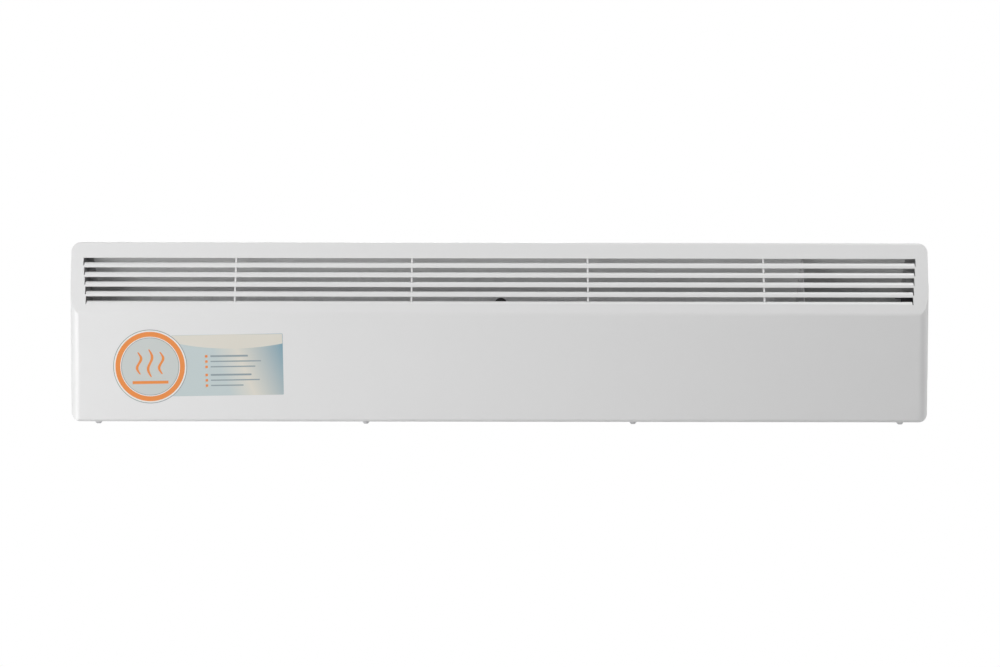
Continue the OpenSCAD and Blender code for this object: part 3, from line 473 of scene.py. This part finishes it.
def new_piece(name, shape, materials, body, place):
    """Makes the shape a piece of its own, on the body that carries it."""
    bmesh.ops.transform(shape, matrix=place, verts=shape.verts)
    bmesh.ops.recalc_face_normals(shape, faces=shape.faces)
    piece = make_object(name, shape, materials)
    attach(piece, body)


def raised(place, height):
    """The same place, moved out of its face."""
    return place @ Matrix.Translation((0, 0, height))


def raise_flat(shape, depth):
    """Turns flat faces into a thin closed print that stands up by depth."""
    top = bmesh.ops.extrude_face_region(shape, geom=shape.faces[:])["geom"]
    bmesh.ops.translate(shape, vec=(0, 0, depth),
                        verts=[v for v in top if isinstance(v, bmesh.types.BMVert)])


def plate(shape, width, height, corner, depth, x=0.0, y=0.0, index=0):
    """Adds a thin plate with rounded corners, standing on z = 0."""
    one = bmesh.new()
    bmesh.ops.create_cube(one, size=1.0)
    bmesh.ops.scale(one, vec=(width, height, depth), verts=one.verts)
    upright = [e for e in one.edges if abs(e.verts[0].co.z - e.verts[1].co.z) > depth / 2]
    bmesh.ops.bevel(one, geom=upright, offset=corner, segments=5, profile=0.5,
                    affect="EDGES", material=-1)
    bmesh.ops.translate(one, vec=(x, y, depth / 2), verts=one.verts)
    for face in one.faces:
        face.material_index = index
    mesh = bpy.data.meshes.new("plate")
    one.to_mesh(mesh)
    one.free()
    shape.from_mesh(mesh)
    bpy.data.meshes.remove(mesh)


def seat(node, start, out):
    """Drops a point on a node from outside and returns where it lands, and the normal there."""
    met, spot, normal, _ = NODES[node].ray_cast(start + DROP * out, -out)
    if not met:
        raise RuntimeError("A mark found no " + node + " to stand on")
    return spot, normal


class HEATER_OT_casing(bpy.types.Operator):
    """Gives the casing and its stays their white powder coat"""
    bl_idname = "heater.casing"
    bl_label = "Paint the casing"

    def execute(self, context):
        look = context.scene.heater_casing
        material, shader = finish("powder_coat", look.paint, look.gloss_roughness)
        skin = use(material, orange_peel, Size=look.peel_size, Roughness=look.gloss_roughness)
        feed(shader, Roughness=skin.outputs["Roughness"])
        bump(shader, skin.outputs["Height"], look.peel_strength, look.peel_height)
        dress("white_paint", material)
        return {"FINISHED"}


class HEATER_OT_metal(bpy.types.Operator):
    """Finishes the galvanised sheet, the element, the screws and the terminals"""
    bl_idname = "heater.metal"
    bl_label = "Finish the metal"

    def execute(self, context):
        look = context.scene.heater_metal
        self.sheet(look)
        self.deflector(look)
        self.drawn(look)

        # Slot, colour, roughness and share of metal shine
        for slot, rgb, roughness, metal in (("screw_steel", look.screw, 0.3, 1.0),
                                            ("dark_screw", look.dark_screw, 0.38, 0.35),
                                            ("brass", look.brass, 0.28, 1.0),
                                            ("copper", look.copper, 0.3, 1.0)):
            dress(slot, grained("turned_" + slot, rgb, roughness, look.turned,
                                look.turned_strength, Metallic=metal))
        return {"FINISHED"}

    def sheet(self, look):
        zinc, shader = finish("galvanised_sheet", look.zinc, look.zinc_roughness,
                              Metallic=look.zinc_metal)
        flakes = use(zinc, zinc_spangle, Color=(*look.zinc, 1), Size=look.spangle,
                     Contrast=look.spangle_contrast, Roughness=look.zinc_roughness)
        feed(shader, Base_Color=flakes.outputs["Color"], Roughness=flakes.outputs["Roughness"])
        dress("zinc_steel", zinc)

    def deflector(self, look):
        """A pale coat on the air deflector's galvanised sheet, with painted shade darkening its
        foot.
        """
        coat, shader = finish("deflector_coat", look.deflector, look.coat_roughness)
        foot = use(coat, heat_dulling, Height=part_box("air_deflector")[0].z + look.dulled_h,
                   Fade=look.dulled_fade)
        # Painted shade: the darker colour mixed in under the mask, at the deflector's foot
        feed(shader, Base_Color=mixed(coat.node_tree, foot.outputs["Mask"], look.deflector,
                                      look.dulled))
        NODES["air_deflector"].data.materials[0] = coat

    def drawn(self, look):
        for slot, rgb, roughness in (("fin_aluminium", look.aluminium, 0.36),
                                     ("rod_steel", look.rod, 0.34)):
            drawn, shader = finish(slot, rgb, roughness, Metallic=1.0)
            lines = use(drawn, drawn_lines, Pitch=look.die_lines, Roughness=roughness)
            feed(shader, Roughness=lines.outputs["Roughness"])
            bump(shader, lines.outputs["Height"], look.line_strength, look.line_height)
            dress(slot, drawn)


class HEATER_OT_mouldings(bpy.types.Operator):
    """Finishes the plastic, rubber and ceramic pieces and the indicator lens"""
    bl_idname = "heater.mouldings"
    bl_label = "Finish the mouldings"

    def execute(self, context):
        look = context.scene.heater_moulded
        # Slot, colour, roughness and strength of the grain
        for slot, rgb, roughness, strength in (("pale_plastic", look.pale, 0.42, 0.25),
                                               ("black_plastic", look.black, 0.5, 0.35),
                                               ("black_gloss", look.black, 0.22, 0.05),
                                               ("black_rubber", look.rubber, 0.75, 0.3),
                                               ("red_silicone", look.silicone, 0.6, 0.15),
                                               ("wire_sleeve", look.sleeve, 0.55, 0.15)):
            dress(slot, grained(slot, rgb, roughness, look.grain, strength))
        dress("ceramic", grained("glazed_ceramic", look.ceramic, roughness=0.2, grain=look.grain,
                                 strength=0.1, Coat_Weight=0.4))
        dress("amber_lens", grained("amber_lens", look.lens, roughness=0.12, grain=look.grain,
                                    strength=0.05, Transmission_Weight=0.35, IOR=1.49))
        return {"FINISHED"}


class HEATER_OT_sticker(bpy.types.Operator):
    """Sticks the round label and its card on the front, with a plain printed pattern"""
    bl_idname = "heater.sticker"
    bl_label = "Print the sticker"

    def execute(self, context):
        size = context.scene.heater_sticker
        plain = {name: printed(name, getattr(size, name), size)
                 for name in ("orange", "edge", "paper", "cream", "bar", "grey")}
        tilt = Matrix.Rotation(size.tilt, 4, "Z")
        disc = FACE_OF_FRONT @ Matrix.Translation((size.disc_x, size.disc_z, 0))
        card = FACE_OF_FRONT @ Matrix.Translation((size.card_x, size.card_z, 0)) @ tilt
        self.disc(size, plain, disc)
        self.waves(size, plain, raised(disc @ tilt, 2 * size.film))
        self.card(size, card)
        self.sweep(size, plain, raised(card, size.film))
        self.bars(size, plain, raised(card, size.film))
        return {"FINISHED"}

    def disc(self, size, plain, place):
        """A round film, twice as thick as the card, with printed rings round a grey middle."""
        shape = bmesh.new()
        bmesh.ops.create_cone(shape, cap_ends=True, segments=96, radius1=size.disc_r,
                              radius2=size.disc_r, depth=2 * size.film)
        bmesh.ops.translate(shape, vec=(0, 0, size.film), verts=shape.verts)
        top = max(shape.faces, key=lambda f: f.calc_center_median().z)
        radii = [size.disc_r, size.disc_r - size.rim, size.ring_out, size.ring_in,
                 size.ring_in - size.plain_w, size.ring_in - size.plain_w - size.line_w]
        for index, (outer, inner) in enumerate(zip(radii, radii[1:])):
            ring = bmesh.ops.inset_region(shape, faces=[top], thickness=outer - inner,
                                          use_even_offset=True)["faces"]
            for face in ring:
                face.material_index = index
        names = ["edge", "paper", "orange", "paper", "edge", "grey"]
        top.material_index = len(names) - 1
        new_piece("sticker_disc", shape, [plain[n] for n in names], "heater", place)

    def waves(self, size, plain, place):
        """Three waves of warm air over a bar."""
        waves = bmesh.new()
        for column in (-1, 0, 1):
            height = size.wave_h * (size.side_wave if column else 1)
            wave = bmesh.ops.create_grid(waves, x_segments=1, y_segments=36, size=0.5)["verts"]
            for v in wave:
                up = v.co.y
                taper = 1 - size.wave_taper * (2 * abs(up)) ** 3
                v.co.x = (v.co.x * size.wave_w * taper + column * size.wave_pitch
                          + size.wave_swing * math.sin(math.tau * size.wave_turns * up))
                v.co.y = up * height + size.wave_up
        base = bmesh.ops.create_grid(waves, x_segments=1, y_segments=1, size=0.5)["verts"]
        for v in base:
            v.co.x, v.co.y = v.co.x * size.base_w, v.co.y * size.base_h - size.base_down
        raise_flat(waves, size.ink)
        new_piece("sticker_waves", waves, [plain["orange"]], "heater", place)

    def card(self, size, place):
        """A card with a gradient from a pale tone over cream to a deep one."""
        fade = printed("fade", size.pale, size)
        tree = fade.node_tree
        # Runs from 0 at the card's left end to 1 at its right; the height leans the gradient
        local = add(tree, "ShaderNodeMapping", {
            "Vector": object_place(tree), "Location": (0.5 - size.card_x / size.card_w, 0, 0),
            "Scale": (1 / size.card_w, 1, 1 / size.card_h)})
        axes = add(tree, "ShaderNodeSeparateXYZ", {0: local.outputs[0]})
        lean = maths(tree, "MULTIPLY_ADD", axes.outputs["Z"], size.fade_lean, axes.outputs["X"])
        ramp = add(tree, "ShaderNodeValToRGB", {0: lean})
        stops = ramp.color_ramp.elements
        stops[0].color, stops[1].color = (*size.pale, 1), (*size.teal, 1)
        stops.new(size.pale_end).color = (*size.pale, 1)
        stops.new(size.cream_at).color = (*size.cream, 1)
        feed(tree.nodes["Principled BSDF"], Base_Color=ramp.outputs["Color"])

        card = bmesh.new()
        plate(card, size.card_w, size.card_h, size.card_corner, size.film)
        new_piece("sticker_card", card, [fade], "heater", place)

    def sweep(self, size, plain, place):
        """A cream band along the card's top edge: an oval, cut to the card."""
        sweep = bmesh.new()
        bmesh.ops.create_circle(sweep, cap_ends=True, segments=96, radius=1.0)
        bmesh.ops.scale(sweep, vec=(size.sweep_w, size.sweep_h, 1), verts=sweep.verts)
        bmesh.ops.translate(sweep, vec=(size.sweep_x, size.sweep_up, 0), verts=sweep.verts)
        for side, reach in (((1, 0, 0), size.card_w / 2), ((-1, 0, 0), size.card_w / 2),
                            ((0, 1, 0), size.card_h / 2)):
            bmesh.ops.bisect_plane(sweep, geom=sweep.verts[:] + sweep.edges[:] + sweep.faces[:],
                                   plane_co=Vector(side) * (reach - size.margin),
                                   plane_no=side, clear_outer=True)
        raise_flat(sweep, size.ink)
        new_piece("sticker_sweep", sweep, [plain["cream"]], "heater", place)

    def bars(self, size, plain, place):
        """Plain bars, each with a small square before it."""
        bars = bmesh.new()
        # Height on the card, length and thickness, in millimetres
        for up, long, thick in ((11, 46, 2.2), (4.5, 62, 1.5), (-2, 55, 1.5),
                                (-12, 50, 2.2), (-18.5, 60, 1.5), (-25, 40, 1.5)):
            plate(bars, size.dot, size.dot, size.dot_corner, size.ink, size.dots_x, up * MM)
            plate(bars, long * MM, thick * MM, size.bar_corner, size.ink,
                  size.dots_x + size.bar_gap + long / 2 * MM, up * MM, index=1)
        new_piece("sticker_bars", bars, [plain["orange"], plain["bar"]], "heater",
                  place)


class HEATER_OT_marks(bpy.types.Operator):
    """Prints the figures on the knob, its fixed pointer and the marks on the rocker"""
    bl_idname = "heater.marks"
    bl_label = "Print the control marks"

    def execute(self, context):
        size = context.scene.heater_marks
        ink = printed("ink", size.ink, size)
        light = printed("light", size.light_ink, size)
        out = -Vector(JOINTS["knob_turn"]["axis"]).normalized()
        across = Vector((-out.y, out.x, 0))
        axes = Matrix((across, (0, 0, 1), out)).transposed().to_4x4()
        hub = Vector(JOINTS["knob_turn"]["pos_m"])
        face = max((v.co - hub).dot(out) for v in NODES["thermostat_knob"].data.vertices)
        self.figures(size, ink, Matrix.Translation(hub + out * face) @ axes)
        self.pointer(size, ink, hub, out, axes)
        self.rocker(size, light, out, across)
        return {"FINISHED"}

    def figures(self, size, ink, dial):
        """The figures run against the knob's clockwise turn, so each comes under the pointer."""
        full_turn = math.radians(JOINTS["knob_turn"]["range_deg"][1])
        for value in range(1, size.figures + 1):
            text = bpy.data.curves.new("figure", "FONT")
            text.body = str(value)
            text.size = size.figure
            text.align_x = text.align_y = "CENTER"
            text.extrude = size.print_depth / 2
            text.resolution_u = 3
            holder = bpy.data.objects.new("figure", text)
            mesh = bpy.data.meshes.new_from_object(holder)
            place = (dial @ Matrix.Rotation(full_turn * value / size.figures, 4, "Z")
                     @ Matrix.Translation((0, size.figure_radius, size.print_depth / 2)))
            shape = bmesh.new()
            shape.from_mesh(mesh)
            bmesh.ops.remove_doubles(shape, verts=shape.verts, dist=1e-6)
            bpy.data.objects.remove(holder)
            new_piece(f"knob_figure_{value}", shape, [ink], "knob", place)

    def pointer(self, size, ink, hub, out, axes):
        """A small triangle on the bezel, whose point looks down at the knob."""
        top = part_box("thermostat_knob")[1].z + size.pointer_gap
        spot, _ = seat("control_bezel", Vector((hub.x, hub.y, top)), out)
        pointer = bmesh.new()
        bmesh.ops.create_circle(pointer, cap_ends=True, segments=3, radius=size.pointer_r)
        raise_flat(pointer, size.print_depth)
        new_piece("knob_pointer", pointer, [ink], "heater",
                  Matrix.Translation(spot) @ axes @ Matrix.Rotation(math.pi, 4, "Z"))

    def rocker(self, size, light, out, across):
        """A short bar on one half of the rocker and a ring on the other."""
        bar, ring = bmesh.new(), bmesh.new()
        plate(bar, size.bar_w, size.bar_h, size.bar_corner, size.print_depth)
        bmesh.ops.create_circle(ring, cap_ends=True, segments=32, radius=size.ring_r)
        middle = ring.faces[:]
        bmesh.ops.inset_region(ring, faces=middle, thickness=size.ring_w, use_boundary=True,
                               use_even_offset=True)
        bmesh.ops.delete(ring, geom=middle, context="FACES")
        raise_flat(ring, size.print_depth)
        hinge = Vector(JOINTS["rocker_tip"]["pos_m"])
        for name, shape, side in (("rocker_bar", bar, 1), ("rocker_ring", ring, -1)):
            spot, normal = seat("switch_rocker", hinge + Vector((0, 0, side * size.mark_rise)), out)
            turn = Matrix((across, normal.cross(across), normal)).transposed().to_4x4()
            new_piece(name, shape, [light], "rocker",
                      Matrix.Translation(spot) @ turn)


class HEATER_OT_stage(bpy.types.Operator):
    """Sets the camera, the lamps, the white surroundings and the floor"""
    bl_idname = "heater.stage"
    bl_label = "Set the stage"

    def execute(self, context):
        stage = context.scene.heater_stage
        context.scene.view_settings.view_transform = "Standard"
        self.camera(context, stage)
        self.lamps(context, stage)
        self.surroundings(context, stage)
        self.floor(stage)
        return {"FINISHED"}

    def camera(self, context, stage):
        camera = bpy.data.cameras.new("camera")
        camera.lens, camera.sensor_width, camera.sensor_fit = stage.focal, SENSOR, "HORIZONTAL"
        camera.clip_start, camera.clip_end = NEAREST, FARTHEST
        eye = bpy.data.objects.new("camera", camera)
        eye.matrix_world = (Matrix.Translation((stage.eye_x, stage.eye_y, stage.eye_z))
                            @ Matrix.Rotation(stage.yaw, 4, "Z")
                            @ Matrix.Rotation(math.pi / 2 - stage.pitch, 4, "X")
                            @ Matrix.Rotation(stage.roll, 4, "Z"))
        context.scene.collection.objects.link(eye)
        context.scene.camera = eye

    def lamps(self, context, stage):
        """Lamps that look at the front, each at its own distance from the casing's middle."""
        # Name, place and size in metres, power, and where along the front it looks
        for name, spot, size, watts, aim in (
                ("key_lamp", (-1.9, -1.5, 0.1), 1.2, stage.key_power, -0.1),
                ("near_lamp", (-1.5, -1.0, 0.35), 0.9, stage.near_power, -0.15),
                ("top_lamp", (0.0, -0.6, 1.3), 1.2, stage.top_power, 0.0),
                ("right_lamp", (0.95, -0.34, 1.15), 0.7, stage.right_power, 0.38),
                ("front_lamp", (0.0, -3.0, 0.6), 1.5, stage.front_power, 0.0),
                ("low_lamp", (0.0, -2.8, -0.4), 1.5, stage.low_power, 0.0),
                ("end_lamp", (1.7, 0.02, 0.0), 0.6, stage.end_power, 0.5),
                ("back_lamp", (-0.5, 2.0, 0.9), 1.5, stage.back_power, 0.0)):
            lamp = bpy.data.lights.new(name, "AREA")
            lamp.size, lamp.energy = size, watts
            holder = bpy.data.objects.new(name, lamp)
            holder.location = spot
            way = Vector((aim, FRONT_Y, 0)) - holder.location
            holder.rotation_euler = way.to_track_quat("-Z", "Y").to_euler()
            context.scene.collection.objects.link(holder)

    def surroundings(self, context, stage):
        """White where the camera or a reflection sees them, and only a faint light otherwise."""
        world = bpy.data.worlds.new("studio")
        world.use_nodes = True
        tree = world.node_tree
        path = add(tree, "ShaderNodeLightPath")
        seen = path.outputs["Is Camera Ray"]
        for label in ("Is Glossy Ray", "Is Transmission Ray"):
            seen = maths(tree, "MAXIMUM", seen, path.outputs[label])
        level = add(tree, "ShaderNodeMapRange",
                    {"Value": seen, "To Min": stage.ambient, "To Max": 1.0})
        back = tree.nodes["Background"]
        back.inputs["Color"].default_value = (1, 1, 1, 1)
        feed(back, Strength=level.outputs[0])
        context.scene.world = world

    def floor(self, stage):
        shape = bmesh.new()
        bmesh.ops.create_grid(shape, x_segments=1, y_segments=1, size=1.0)
        bmesh.ops.scale(shape, vec=(stage.floor_w, stage.floor_d, 1), verts=shape.verts)
        bmesh.ops.translate(shape, vec=(0, stage.floor_y, stage.floor_z), verts=shape.verts)
        paint, _ = finish("floor_paint", FLOOR_GREY, roughness=0.6)
        floor = make_object("floor", shape, [paint])


class HEATER_PT_panel(bpy.types.Panel):
    bl_label = "Convector heater"
    bl_space_type = "VIEW_3D"
    bl_region_type = "UI"
    bl_category = "Heater"

    def draw(self, context):
        for operator in OPERATORS:
            self.layout.operator(operator.bl_idname)
        for name in SETTINGS:
            group = getattr(context.scene, name)
            box = self.layout.box()
            for key in group.__annotations__:
                box.prop(group, key)


OPERATORS = (HEATER_OT_casing, HEATER_OT_metal, HEATER_OT_mouldings, HEATER_OT_sticker,
             HEATER_OT_marks, HEATER_OT_stage)
SETTINGS = {"heater_casing": CasingFinish, "heater_metal": MetalFinish,
            "heater_moulded": MouldedFinish, "heater_sticker": StickerSizes,
            "heater_marks": MarkSizes, "heater_stage": StageSettings}


def register():
    for name, group in SETTINGS.items():
        bpy.utils.register_class(group)
        setattr(bpy.types.Scene, name, PointerProperty(type=group))
    for kind in (*OPERATORS, HEATER_PT_panel):
        bpy.utils.register_class(kind)


def unregister():
    for kind in (HEATER_PT_panel, *reversed(OPERATORS)):
        bpy.utils.unregister_class(kind)
    for name, group in reversed(SETTINGS.items()):
        delattr(bpy.types.Scene, name)
        bpy.utils.unregister_class(group)


def main():
    register()
    for operator in OPERATORS:
        group, name = operator.bl_idname.split(".")
        getattr(getattr(bpy.ops, group), name)()


if __name__ == "__main__":
    main()
